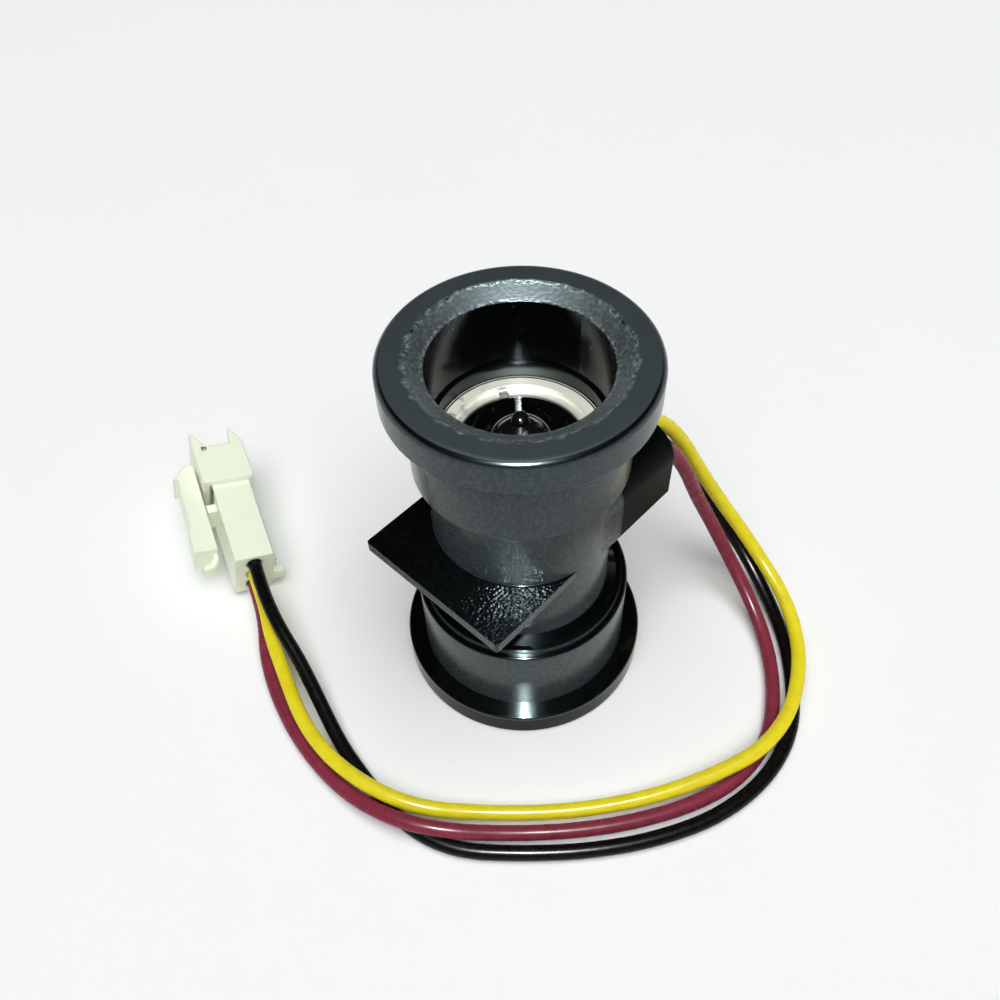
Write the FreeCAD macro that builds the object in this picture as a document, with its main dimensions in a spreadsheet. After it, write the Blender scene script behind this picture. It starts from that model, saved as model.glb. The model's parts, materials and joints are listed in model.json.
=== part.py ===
import FreeCAD, Part
import math
import os

import Sketcher

Vector = FreeCAD.Vector

# Turbine flow sensor. Z runs up the flow tube, the origin is the middle of its base, +X points at the
# sensor pod. Lengths are millimetres and angles degrees.
SIZES = {
    # outside of the moulded body
    "body_height": 44.2,
    "base_flange_radius": 13.5,
    "base_flange_height": 3.1,
    "collar_radius": 11.5,
    "collar_height": 9.4,
    "collar_step": 0.65,
    "tube_radius": 9.2,
    "barrel_radius": 10.5,
    "barrel_height": 9.3,
    "top_flange_radius": 12.6,
    "top_flange_height": 3.8,
    "rim_round": 0.8,
    "edge_round": 0.3,
    # cross plate and sensor pod
    "plate_top": 22.7,
    "plate_thickness": 1.25,
    "plate_reach": 13.3,
    "pod_reach": 13.0,
    "pod_width": 18.0,
    "pod_height": 7.3,
    "pod_corner": 3.5,
    "pocket_width": 14.8,
    "pocket_height": 5.2,
    "pocket_sill": 0.5,
    "recess_width": 12.4,
    "recess_height": 4.4,
    "recess_wall": 1.25,
    "recess_depth": 2.0,
    # flow passage
    "mouth_radius": 10.1,
    "mouth_depth": 1.1,
    "inlet_socket_radius": 8.3,
    "inlet_socket_depth": 8.45,
    "inlet_bore_radius": 8.0,
    "inlet_seat_depth": 12.3,
    "rotor_bore_radius": 7.45,
    "outlet_seat_height": 14.2,
    "outlet_bore_radius": 6.4,
    "outlet_socket_radius": 8.3,
    "outlet_socket_depth": 8.5,
    "outlet_lead_in": 0.5,
    # retaining ring
    "ring_thickness": 0.8,
    "ring_groove_depth": 0.5,
    "ring_width": 1.45,
    "ring_wide_width": 2.35,
    "ring_wide_start": -25.0,
    "ring_wide_arc": 78.0,
    "ring_gap_start": 185.0,
    "ring_gap_arc": 18.0,
    "ring_lug_width": 2.7,
    "ring_lug_arc": 16.0,
    "ring_lug_hole": 0.6,
    # inlet stator and outlet support
    "stator_flange_height": 1.3,
    "stator_skirt": 2.9,
    "stator_bore_radius": 5.9,
    "stator_hub_radius": 3.2,
    "stator_nose": 2.2,
    "support_ring_height": 2.2,
    "support_hub_radius": 2.8,
    "support_nose": 2.6,
    "vane_count": 3,
    "vane_thickness": 0.6,
    "vane_angle": 45.0,
    "vane_drop": 0.2,
    # rotor train
    "shaft_radius": 0.75,
    "shaft_end_play": 0.2,
    "bearing_radius": 1.6,
    "bearing_length": 2.5,
    "washer_radius": 1.5,
    "washer_thickness": 0.4,
    "axial_play": 0.05,
    "running_gap": 0.03,
    "seat_gap": 0.03,
    "rotor_hub_radius": 2.9,
    "rotor_tip_gap": 0.6,
    "blade_count": 4,
    "blade_thickness": 0.9,
    "blade_length": 9.0,
    "blade_twist": 80.0,
    "blade_root": 0.3,
    "magnet_wall": 0.6,
    "magnet_bore_wall": 0.45,
    "magnet_height": 4.0,
    "cap_thickness": 0.6,
    # sensor board
    "board_thickness": 0.8,
    "board_gap": 0.1,
    "hall_width": 3.0,
    "hall_height": 4.1,
    "hall_thickness": 1.5,
    "hall_bevel": 0.5,
    "lead_pitch": 1.27,
    "lead_width": 0.4,
    "lead_reach": 1.6,
    "capacitor_width": 1.25,
    "capacitor_length": 2.0,
    "capacitor_height": 0.9,
    "capacitor_offset": 4.2,
    "solder_radius": 0.8,
    "solder_height": 0.3,
    "potting_depth": 1.1,
    # wires and plug
    "wire_radius": 0.8,
    "wire_clearance": 0.15,
    "contact_pitch": 2.0,
    "plug_rear_length": 12.0,
    "plug_rear_width": 6.8,
    "plug_rear_thickness": 4.6,
    "plug_front_length": 8.5,
    "plug_front_width": 8.2,
    "plug_front_right": 2.9,
    "plug_front_left": 3.3,
    "plug_wall": 0.8,
    "plug_socket_depth": 9.5,
    "plug_horn_length": 2.6,
    "plug_horn_width": 1.6,
    "plug_rail_width": 2.2,
    "plug_rail_height": 0.6,
    "lever_gap": 0.3,
    "lever_bridge_gap": 0.15,
    "lever_tail": 3.4,
    "lever_hinge": 9.8,
    "lever_tip": 17.0,
    "lever_width": 3.8,
    "lever_thickness": 1.1,
    "lever_bridge_length": 1.2,
    "lever_pad_height": 0.4,
    "lever_catch_height": 0.5,
    "contact_start": 2.9,
    "contact_barrel_length": 6.0,
    "contact_pin_radius": 0.4,
    "contact_pin_setback": 3.0,
}

# Wire routes from the pod to the plug, chosen by hand: each lies loose round the body's foot. Inside the
# pod each wire runs straight back from its first point to its solder joint.
WIRE_ROUTES = {
    "yellow": [
        (13.8, -3.6, 27.0), (15.9, -3.9, 26.4), (17.7, -4.5, 25.1), (19.5, -6.0, 21.9),
        (21.2, -8.1, 16.8), (23.1, -10.2, 11.8), (24.0, -13.4, 7.9), (23.7, -17.0, 5.3),
        (22.3, -21.1, 3.9), (19.4, -25.1, 3.0), (15.3, -28.1, 2.8), (10.2, -30.1, 2.8),
        (4.8, -30.2, 2.7), (-0.3, -28.3, 2.4), (-6.0, -25.1, 1.6), (-11.3, -21.1, 1.0),
        (-16.0, -16.8, 0.9), (-20.6, -11.8, 1.1), (-24.4, -7.7, 2.4), (-26.5, -2.8, 2.9),
        (-27.3, 3.1, 2.8), (-26.5, 9.0, 2.5), (-24.2, 14.9, 2.4), (-22.1, 20.0, 2.9),
        (-20.1, 23.4, 3.4), (-18.2, 27.8, 3.8), (-17.0, 30.6, 4.0),
    ],
    "red": [
        (13.1, -6.4, 25.2), (14.5, -6.45, 24.8), (15.75, -6.65, 23.9), (16.8, -7.05, 22.45),
        (18.0, -8.0, 19.5), (19.5, -9.0, 14.8), (21.0, -10.7, 10.1), (21.3, -13.5, 6.1),
        (20.4, -17.3, 3.1), (18.6, -21.0, 1.3), (15.5, -24.6, 0.85), (11.5, -27.6, 0.85),
        (6.9, -29.9, 0.85), (0.9, -30.0, 0.85), (-4.8, -27.9, 0.85), (-10.4, -24.4, 0.85),
        (-15.3, -20.4, 0.85), (-20.1, -15.6, 1.0), (-24.7, -10.9, 2.5), (-27.2, -6.4, 2.6),
        (-28.5, -0.2, 1.4), (-28.1, 7.2, 0.9), (-26.3, 14.0, 0.85), (-23.7, 19.6, 0.95),
        (-20.9, 23.2, 1.4), (-18.5, 28.1, 1.8), (-17.3, 30.9, 2.1),
    ],
    "black": [
        (13.8, -4.2, 24.2), (15.9, -4.4, 23.5), (17.7, -4.7, 22.1), (20.2, -5.2, 18.3),
        (22.7, -6.3, 13.2), (24.2, -8.6, 8.8), (24.8, -11.7, 5.4), (24.3, -15.3, 2.9),
        (22.2, -19.9, 1.2), (18.8, -24.5, 0.9), (14.3, -28.4, 0.85), (9.4, -31.3, 0.85),
        (3.1, -32.2, 0.85), (-3.7, -30.8, 0.85), (-10.2, -27.3, 0.85), (-15.8, -22.9, 0.85),
        (-20.8, -17.8, 0.85), (-24.9, -12.8, 0.85), (-26.5, -7.2, 0.85), (-26.0, -1.0, 0.85),
        (-25.1, 4.4, 1.0), (-23.5, 9.6, 1.8), (-21.9, 14.8, 3.1), (-21.1, 19.0, 4.6),
        (-19.8, 23.1, 5.4), (-17.8, 27.5, 5.7), (-16.6, 30.2, 6.0),
    ],
}

# The plug lies on its narrow edge: X runs from its wire end to its front, Z along the row of contacts.
PLUG_PLACE = FreeCAD.Placement(Vector(-18.1, 28.0, 3.86), FreeCAD.Rotation(66.0, -4.5, 13.0))

# Places that several pieces share
COLLAR_TOP = "(dim.base_flange_height + dim.collar_height)"
TOP_FLANGE_BOTTOM = "(dim.body_height - dim.top_flange_height)"
BARREL_BOTTOM = "(dim.body_height - dim.top_flange_height - dim.barrel_height)"
POD_TOP = "(dim.plate_top + dim.pod_height)"
POCKET_BOTTOM = "(dim.plate_top + dim.pocket_sill)"
POCKET_MIDDLE = "(dim.plate_top + dim.pocket_sill + dim.pocket_height / 2)"
RECESS_FLOOR = "(dim.rotor_bore_radius + dim.recess_wall)"
LEDGE = "(dim.rotor_bore_radius + dim.recess_wall + dim.recess_depth)"
BOARD_FACE = f"({LEDGE} + dim.board_thickness)"
SOCKET_STOP = "(dim.body_height - dim.inlet_socket_depth)"
INLET_SEAT = "(dim.body_height - dim.inlet_seat_depth)"
RING_BOTTOM = "(dim.body_height - dim.inlet_seat_depth + dim.stator_flange_height)"
INLET_FACE = "(dim.body_height - dim.inlet_seat_depth - dim.stator_skirt)"
OUTLET_FACE = "(dim.outlet_seat_height + dim.support_ring_height)"
ROTOR_BOTTOM = f"({OUTLET_FACE} + dim.washer_thickness + 2 * dim.axial_play)"
ROTOR_TOP = f"({INLET_FACE} - dim.washer_thickness - 2 * dim.axial_play)"
MAGNET_RADIUS = "(dim.rotor_hub_radius - dim.magnet_wall)"
MAGNET_BORE = "(dim.shaft_radius + dim.magnet_bore_wall)"
MAGNET_BOTTOM = f"({ROTOR_TOP} - dim.cap_thickness - dim.magnet_height)"
PLUG_LENGTH = "(dim.plug_rear_length + dim.plug_front_length)"
LEVER_INNER = "(dim.plug_front_left + dim.lever_gap)"

TOUCH = 1e-4
LOFT_SECTIONS = 5
LEAD_COUNT = 3
ARC_SHARE = 0.45

doc = FreeCAD.newDocument("flow_sensor")
sheet = doc.addObject("Spreadsheet::Sheet", "dim")
for row, (alias, size) in enumerate(SIZES.items(), start=1):
    sheet.set(f"A{row}", alias)
    sheet.set(f"B{row}", str(size))
    sheet.setAlias(f"B{row}", alias)
doc.recompute()


def value(expression):
    """The number that an expression of the sheet's sizes gives."""
    return float(sheet.evalExpression(expression))


def new_body(name):
    body = doc.addObject("PartDesign::Body", name)
    body.Label = name
    return body


def bind(thing, **expressions):
    """Tie properties to the sheet; two underscores in a name stand for a dot."""
    for name, expression in expressions.items():
        thing.setExpression(name.replace("__", "."), expression)
    return thing


def pin_point(sketch, geometry, position, across, up):
    """Hold one end of a sketch line at a pair of expressions."""
    for kind, axis, expression in (("DistanceX", -2, across), ("DistanceY", -1, up)):
        if expression == "0":
            sketch.addConstraint(Sketcher.Constraint("PointOnObject", geometry, position, axis))
        else:
            constraint = Sketcher.Constraint(kind, -1, 1, geometry, position, value(expression))
            index = sketch.addConstraint(constraint)
            sketch.setExpression(f"Constraints[{index}]", expression)


def new_sketch(body, name, plane, offset="0", turn="0"):
    """Empty sketch on one of the body's own planes, moved along its normal and turned about it."""
    sketch = body.newObject("Sketcher::SketchObject", name)
    support = next(item for item in body.Origin.OriginFeatures if item.Role == plane)
    sketch.AttachmentSupport = (support, [""])
    sketch.MapMode = "FlatFace"
    sketch.AttachmentOffset = FreeCAD.Placement(
        Vector(0, 0, value(offset)), FreeCAD.Rotation(Vector(0, 0, 1), value(turn)))
    if offset != "0":
        bind(sketch, AttachmentOffset__Base__z=offset)
    if turn != "0":
        bind(sketch, AttachmentOffset__Rotation__Angle=turn)
    return sketch


def outline(body, name, plane, corners, offset="0", turn="0"):
    """Closed sketch of straight lines through corners, each a pair of expressions."""
    sketch = new_sketch(body, name, plane, offset, turn)
    points = [Vector(value(across), value(up), 0) for across, up in corners]
    count = len(points)
    for index in range(count):
        sketch.addGeometry(Part.LineSegment(points[index], points[(index + 1) % count]))
    for index in range(count):
        sketch.addConstraint(Sketcher.Constraint("Coincident", index, 2, (index + 1) % count, 1))
    for index, (across, up) in enumerate(corners):
        pin_point(sketch, index, 1, across, up)
    return sketch


def rectangle(left, right, bottom, top):
    return [(left, bottom), (right, bottom), (right, top), (left, top)]


def circles(body, name, plane, centres, radius, offset="0"):
    """Sketch of equal circles at centres given as pairs of expressions."""
    sketch = new_sketch(body, name, plane, offset)
    for geometry, (across, up) in enumerate(centres):
        middle = Vector(value(across), value(up), 0)
        sketch.addGeometry(Part.Circle(middle, Vector(0, 0, 1), value(radius)))
        pin_point(sketch, geometry, 3, across, up)
        index = sketch.addConstraint(Sketcher.Constraint("Radius", geometry, value(radius)))
        sketch.setExpression(f"Constraints[{index}]", radius)
    return sketch


def turned(body, name, sketch, kind="PartDesign::Revolution"):
    """Revolve a sketch about its own upright axis, adding or cutting."""
    feature = body.newObject(kind, name)
    feature.Profile = sketch
    feature.ReferenceAxis = (sketch, ["V_Axis"])
    feature.Angle = 360
    body.Tip = feature
    return feature


def extruded(body, name, sketch, length, kind="PartDesign::Pad", reverse=False, both_ways=False):
    feature = body.newObject(kind, name)
    feature.Profile = sketch
    feature.Reversed = reverse
    feature.Midplane = both_ways
    bind(feature, Length=length)
    body.Tip = feature
    return feature


def rounded(body, name, radius, wanted):
    """Fillet those edges of the body's shape so far that a test accepts."""
    doc.recompute()
    base = body.Tip
    edges = [f"Edge{index}" for index, edge in enumerate(base.Shape.Edges, start=1) if wanted(edge)]
    feature = body.newObject("PartDesign::Fillet", name)
    feature.Base = (base, edges)
    bind(feature, Radius=radius)
    body.Tip = feature
    return feature


def is_circle_at(edge, spots):
    """Whether an edge is a level circle of one of the given radii and heights."""
    curve = edge.Curve
    if not isinstance(curve, Part.Circle) or abs(curve.Axis.z) < 1 - TOUCH:
        return False
    return any(
        abs(curve.Radius - value(radius)) < TOUCH and abs(curve.Center.z - value(height)) < TOUCH
        for radius, height in spots)


def is_straight_along(edge, direction):
    curve = edge.Curve
    return isinstance(curve, Part.Line) and abs(curve.Direction.dot(direction)) > 1 - TOUCH


def cylinder(name, radius, height, bottom, sector="360", start="0"):
    """Upright cylinder, or a sector of one, on the tube's axis."""
    piece = doc.addObject("Part::Cylinder", name)
    piece.Placement = FreeCAD.Placement(Vector(), FreeCAD.Rotation(Vector(0, 0, 1), value(start)))
    bind(piece, Radius=radius, Height=height, Placement__Base__z=bottom)
    if sector != "360":
        bind(piece, Angle=sector, Placement__Rotation__Angle=start)
    return piece


def cut(name, base, tool):
    piece = doc.addObject("Part::Cut", name)
    piece.Base = base
    piece.Tool = tool
    return piece


def fused(name, pieces):
    whole = doc.addObject("Part::MultiFuse", name)
    whole.Shapes = pieces
    whole.Refine = True
    return whole


def grouped(name, pieces):
    """Several separate solids in one node."""
    group = doc.addObject("Part::Compound", name)
    group.Links = pieces
    return group


def ring(name, outer, inner, height, bottom):
    disc = cylinder(f"{name}_disc", outer, height, bottom)
    hole = cylinder(f"{name}_hole", inner, height, bottom)
    return cut(name, disc, hole)


def make_flow_body():
    """The black moulding: plate and pod, the turned outside, then the passage and the pod's pocket."""
    body = new_body("flow_body")
    half_width = "dim.pod_width / 2"
    plate = outline(body, "plate_outline", "XY_Plane", rectangle(
        "-dim.plate_reach", "dim.pod_reach", "-dim.pod_width / 2", half_width),
        offset="dim.plate_top - dim.plate_thickness")
    extruded(body, "plate", plate, "dim.plate_thickness")
    pod = outline(body, "pod_outline", "YZ_Plane", rectangle(
        "-dim.pod_width / 2", half_width, "dim.plate_top - dim.plate_thickness", POD_TOP))
    extruded(body, "pod", pod, "dim.pod_reach")
    rounded(body, "pod_corners", "dim.pod_corner", lambda edge: (
        is_straight_along(edge, Vector(1, 0, 0)) and edge.CenterOfMass.z > value(POD_TOP) - TOUCH))
    rounded(body, "plate_corners", "dim.edge_round", lambda edge: (
        is_straight_along(edge, Vector(0, 0, 1)) and edge.CenterOfMass.x < -value("dim.tube_radius")))
    land = f"{COLLAR_TOP} + dim.collar_step"
    outside = outline(body, "outside_outline", "XZ_Plane", [
        ("0", "0"),
        ("dim.base_flange_radius", "0"),
        ("dim.base_flange_radius", "dim.base_flange_height"),
        ("dim.collar_radius", "dim.base_flange_height"),
        ("dim.collar_radius", COLLAR_TOP),
        ("dim.collar_radius - dim.collar_step", COLLAR_TOP),
        ("dim.collar_radius - dim.collar_step", land),
        ("dim.collar_radius - 2 * dim.collar_step", land),
        ("dim.tube_radius", f"{land} + dim.collar_step"),
        ("dim.tube_radius", BARREL_BOTTOM),
        ("dim.barrel_radius", f"{BARREL_BOTTOM} + dim.collar_step"),
        ("dim.barrel_radius", TOP_FLANGE_BOTTOM),
        ("dim.top_flange_radius", TOP_FLANGE_BOTTOM),
        ("dim.top_flange_radius", "dim.body_height"),
        ("0", "dim.body_height")])
    turned(body, "outside", outside)
    groove_bottom = f"{RING_BOTTOM} - dim.axial_play"
    groove_top = f"{RING_BOTTOM} + dim.ring_thickness + dim.axial_play"
    groove_radius = "dim.inlet_bore_radius + dim.ring_groove_depth"
    passage = outline(body, "passage_outline", "XZ_Plane", [
        ("0", "0"),
        ("dim.outlet_socket_radius + dim.outlet_lead_in", "0"),
        ("dim.outlet_socket_radius", "dim.outlet_lead_in"),
        ("dim.outlet_socket_radius", "dim.outlet_socket_depth"),
        ("dim.outlet_bore_radius", "dim.outlet_socket_depth"),
        ("dim.outlet_bore_radius", "dim.outlet_seat_height"),
        ("dim.rotor_bore_radius", "dim.outlet_seat_height"),
        ("dim.rotor_bore_radius", INLET_SEAT),
        ("dim.inlet_bore_radius", INLET_SEAT),
        ("dim.inlet_bore_radius", groove_bottom),
        (groove_radius, groove_bottom),
        (groove_radius, groove_top),
        ("dim.inlet_bore_radius", groove_top),
        ("dim.inlet_bore_radius", SOCKET_STOP),
        ("dim.inlet_socket_radius", SOCKET_STOP),
        ("dim.inlet_socket_radius", "dim.body_height - dim.mouth_depth"),
        ("dim.mouth_radius", "dim.body_height"),
        ("0", "dim.body_height")])
    turned(body, "passage", passage, "PartDesign::Groove")
    pocket = outline(body, "pocket_outline", "YZ_Plane", rectangle(
        "-dim.pocket_width / 2", "dim.pocket_width / 2",
        POCKET_BOTTOM, f"{POCKET_BOTTOM} + dim.pocket_height"), offset="dim.pod_reach")
    extruded(body, "pocket", pocket, f"dim.pod_reach - {LEDGE}", "PartDesign::Pocket")
    recess = outline(body, "recess_outline", "YZ_Plane", rectangle(
        "-dim.recess_width / 2", "dim.recess_width / 2",
        f"{POCKET_MIDDLE} - dim.recess_height / 2", f"{POCKET_MIDDLE} + dim.recess_height / 2"),
        offset=LEDGE)
    extruded(body, "recess", recess, "dim.recess_depth", "PartDesign::Pocket")
    rounded(body, "rim_edge", "dim.rim_round", lambda edge: is_circle_at(
        edge, [("dim.top_flange_radius", "dim.body_height")]))
    rounded(body, "turned_edges", "dim.edge_round", lambda edge: is_circle_at(edge, [
        ("dim.top_flange_radius", TOP_FLANGE_BOTTOM),
        ("dim.collar_radius", COLLAR_TOP),
        ("dim.base_flange_radius", "dim.base_flange_height"),
        ("dim.base_flange_radius", "0")]))
    return body


def make_retaining_ring():
    """Flat steel ring in the bore's groove: wider over one arc, open between two drilled lugs."""
    outer = "dim.inlet_bore_radius + dim.ring_groove_depth - dim.axial_play"
    height = "dim.ring_thickness"
    band = ring("ring_band", outer, "dim.inlet_bore_radius + dim.ring_groove_depth - dim.ring_width",
                height, RING_BOTTOM)
    wide = cylinder("ring_wide", outer, height, RING_BOTTOM, "dim.ring_wide_arc", "dim.ring_wide_start")
    wide_bore = cylinder("ring_wide_bore",
                         "dim.inlet_bore_radius + dim.ring_groove_depth - dim.ring_wide_width",
                         height, RING_BOTTOM)
    lugs = cylinder("ring_lugs", outer, height, RING_BOTTOM,
                    "dim.ring_gap_arc + 2 * dim.ring_lug_arc", "dim.ring_gap_start - dim.ring_lug_arc")
    lug_bore = cylinder("ring_lug_bore",
                        "dim.inlet_bore_radius + dim.ring_groove_depth - dim.ring_lug_width",
                        height, RING_BOTTOM)
    gap = cylinder("ring_gap", outer, height, RING_BOTTOM, "dim.ring_gap_arc", "dim.ring_gap_start")
    reach = "(dim.inlet_bore_radius + dim.ring_groove_depth - dim.ring_lug_width / 2)"
    holes = []
    for side, angle in (("first", "dim.ring_gap_start - dim.ring_lug_arc / 2"),
                        ("second", "dim.ring_gap_start + dim.ring_gap_arc + dim.ring_lug_arc / 2")):
        hole = cylinder(f"ring_{side}_hole", "dim.ring_lug_hole", height, RING_BOTTOM)
        bind(hole, Placement__Base__x=f"{reach} * cos(({angle}) * 1deg)",
             Placement__Base__y=f"{reach} * sin(({angle}) * 1deg)")
        holes.append(hole)
    whole = fused("ring_whole", [band, cut("ring_wide_arc", wide, wide_bore),
                                 cut("ring_lug_arc", lugs, lug_bore)])
    return cut("retaining_ring", whole, fused("ring_openings", [gap] + holes))


def make_vanes(name, reach, height, bottom):
    """Thin upright vanes from the axis outwards, spread evenly round it."""
    vanes = []
    for index in range(int(value("dim.vane_count"))):
        vane = doc.addObject("Part::Box", f"{name}_vane_{index}")
        angle = f"dim.vane_angle + {index} * 360 / dim.vane_count"
        vane.Placement = FreeCAD.Placement(Vector(), FreeCAD.Rotation(Vector(0, 0, 1), value(angle)))
        bind(vane, Length=reach, Width="dim.vane_thickness", Height=height,
             Placement__Base__x=f"dim.vane_thickness / 2 * sin(({angle}) * 1deg)",
             Placement__Base__y=f"-dim.vane_thickness / 2 * cos(({angle}) * 1deg)",
             Placement__Base__z=bottom, Placement__Rotation__Angle=angle)
        vanes.append(vane)
    return vanes


def make_nose(name, radius, length, base, downwards=False):
    """Half of an ellipsoid that closes a hub towards the flow."""
    nose = doc.addObject("Part::Ellipsoid", name)
    nose.Angle1 = -90 if downwards else 0
    nose.Angle2 = 0 if downwards else 90
    bind(nose, Radius1=length, Radius2=radius, Radius3=radius, Placement__Base__z=base)
    return nose


def make_inlet_stator():
    """Flanged ring on the inlet seat, with vanes and a domed hub that holds the inlet bearing."""
    flange = cylinder("stator_flange", "dim.inlet_bore_radius - dim.seat_gap",
                      "dim.stator_flange_height", INLET_SEAT)
    skirt = cylinder("stator_skirt", "dim.rotor_bore_radius - dim.seat_gap", "dim.stator_skirt", INLET_FACE)
    height = "dim.stator_skirt + dim.stator_flange_height"
    bore = cylinder("stator_bore", "dim.stator_bore_radius", height, INLET_FACE)
    shell = cut("stator_shell", fused("stator_blank", [flange, skirt]), bore)
    hub = cylinder("stator_hub", "dim.stator_hub_radius", height, INLET_FACE)
    nose = make_nose("stator_nose", "dim.stator_hub_radius", "dim.stator_nose", RING_BOTTOM)
    vanes = make_vanes("stator", "(dim.stator_bore_radius + dim.rotor_bore_radius) / 2",
                       f"{height} - dim.vane_drop", INLET_FACE)
    pocket = cylinder("stator_pocket", "dim.bearing_radius + dim.seat_gap", "dim.bearing_length", INLET_FACE)
    return cut("inlet_stator", fused("stator_whole", [shell, hub, nose] + vanes), pocket)


def make_outlet_support():
    """Ring on the outlet seat, with vanes and a hub that holds the outlet bearing."""
    shell = ring("support_shell", "dim.rotor_bore_radius - dim.seat_gap", "dim.outlet_bore_radius",
                 "dim.support_ring_height", "dim.outlet_seat_height")
    hub_height = "dim.bearing_length + dim.vane_thickness"
    hub = cylinder("support_hub", "dim.support_hub_radius", hub_height, f"{OUTLET_FACE} - ({hub_height})")
    nose = make_nose("support_nose", "dim.support_hub_radius", "dim.support_nose",
                     f"{OUTLET_FACE} - ({hub_height})", downwards=True)
    vanes = make_vanes("support", "(dim.outlet_bore_radius + dim.rotor_bore_radius) / 2",
                       "dim.support_ring_height - dim.vane_drop", "dim.outlet_seat_height")
    pocket = cylinder("support_pocket", "dim.bearing_radius + dim.seat_gap", "dim.bearing_length",
                      f"{OUTLET_FACE} - dim.bearing_length")
    return cut("outlet_support", fused("support_whole", [shell, hub, nose] + vanes), pocket)


def make_bearing(name, bottom):
    return ring(name, "dim.bearing_radius", "dim.shaft_radius + dim.running_gap", "dim.bearing_length", bottom)


def make_thrust_washers():
    bore = "dim.shaft_radius + dim.running_gap"
    lower = ring("lower_washer", "dim.washer_radius", bore, "dim.washer_thickness",
                 f"{OUTLET_FACE} + dim.axial_play")
    upper = ring("upper_washer", "dim.washer_radius", bore, "dim.washer_thickness",
                 f"{ROTOR_TOP} + dim.axial_play")
    return grouped("thrust_washers", [lower, upper])


def make_rotor_shaft():
    """Steel pin with chamfered ends, a little short of the floors of both bearing pockets."""
    body = new_body("rotor_shaft")
    chamfer = "dim.shaft_end_play"
    bottom = f"({OUTLET_FACE} - dim.bearing_length + dim.shaft_end_play)"
    top = f"({INLET_FACE} + dim.bearing_length - dim.shaft_end_play)"
    profile = outline(body, "shaft_outline", "XZ_Plane", [
        ("0", bottom),
        (f"dim.shaft_radius - {chamfer}", bottom),
        ("dim.shaft_radius", f"{bottom} + {chamfer}"),
        ("dim.shaft_radius", f"{top} - {chamfer}"),
        (f"dim.shaft_radius - {chamfer}", top),
        ("0", top)])
    turned(body, "shaft", profile)
    return body


def make_rotor():
    """Turned hub with a magnet pocket, and helical blades lofted up it and patterned round it."""
    body = new_body("rotor")
    pocket_radius = f"{MAGNET_RADIUS} + dim.seat_gap"
    bore = "dim.shaft_radius + dim.seat_gap"
    chamfer = "dim.blade_root"
    hub = outline(body, "hub_outline", "XZ_Plane", [
        (bore, ROTOR_BOTTOM),
        (f"dim.rotor_hub_radius - {chamfer}", ROTOR_BOTTOM),
        ("dim.rotor_hub_radius", f"{ROTOR_BOTTOM} + {chamfer}"),
        ("dim.rotor_hub_radius", ROTOR_TOP),
        (pocket_radius, ROTOR_TOP),
        (pocket_radius, MAGNET_BOTTOM),
        (bore, MAGNET_BOTTOM)])
    turned(body, "hub", hub)
    start = f"({ROTOR_BOTTOM} + {ROTOR_TOP} - dim.blade_length) / 2"
    sections = []
    for index in range(LOFT_SECTIONS):
        share = f"{index} / {LOFT_SECTIONS - 1}"
        sections.append(outline(body, f"blade_section_{index}", "XY_Plane", rectangle(
            "dim.rotor_hub_radius - dim.blade_root", "dim.rotor_bore_radius - dim.rotor_tip_gap",
            "-dim.blade_thickness / 2", "dim.blade_thickness / 2"),
            offset=f"{start} + dim.blade_length * {share}", turn=f"dim.blade_twist * {share}"))
    doc.recompute()
    blade = body.newObject("PartDesign::AdditiveLoft", "blade")
    blade.Profile = sections[0]
    blade.Sections = sections[1:]
    body.Tip = blade
    doc.recompute()
    blades = body.newObject("PartDesign::PolarPattern", "blades")
    blades.Originals = [blade]
    blades.Axis = (hub, ["V_Axis"])
    blades.Angle = 360
    bind(blades, Occurrences="dim.blade_count")
    body.Tip = blades
    return body


def make_ring_magnet():
    return ring("ring_magnet", MAGNET_RADIUS, MAGNET_BORE, "dim.magnet_height", MAGNET_BOTTOM)


def make_magnet_cap():
    return ring("magnet_cap", MAGNET_RADIUS, "dim.shaft_radius + dim.seat_gap", "dim.cap_thickness",
                f"{ROTOR_TOP} - dim.cap_thickness")


def box(name, length, width, height, x, y, z):
    piece = doc.addObject("Part::Box", name)
    return bind(piece, Length=length, Width=width, Height=height,
                Placement__Base__x=x, Placement__Base__y=y, Placement__Base__z=z)


def make_sensor_board():
    return box("sensor_board", "dim.board_thickness", "dim.pocket_width - 2 * dim.board_gap",
               "dim.pocket_height - 2 * dim.board_gap", LEDGE, "-dim.pocket_width / 2 + dim.board_gap",
               f"{POCKET_BOTTOM} + dim.board_gap")


def make_hall_sensor():
    """Pick-up with bevelled sides towards the rotor, close to the recess floor."""
    body = new_body("hall_sensor")
    front = f"({RECESS_FLOOR} + dim.seat_gap)"
    half = "dim.hall_width / 2"
    profile = outline(body, "hall_outline", "XY_Plane", [
        (f"{front} + dim.hall_thickness", f"-{half}"),
        (f"{front} + dim.hall_thickness", half),
        (f"{front} + dim.hall_bevel", half),
        (front, f"{half} - dim.hall_bevel"),
        (front, f"-{half} + dim.hall_bevel"),
        (f"{front} + dim.hall_bevel", f"-{half}")], offset=POCKET_MIDDLE)
    extruded(body, "hall", profile, "dim.hall_height", both_ways=True)
    return body


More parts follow.
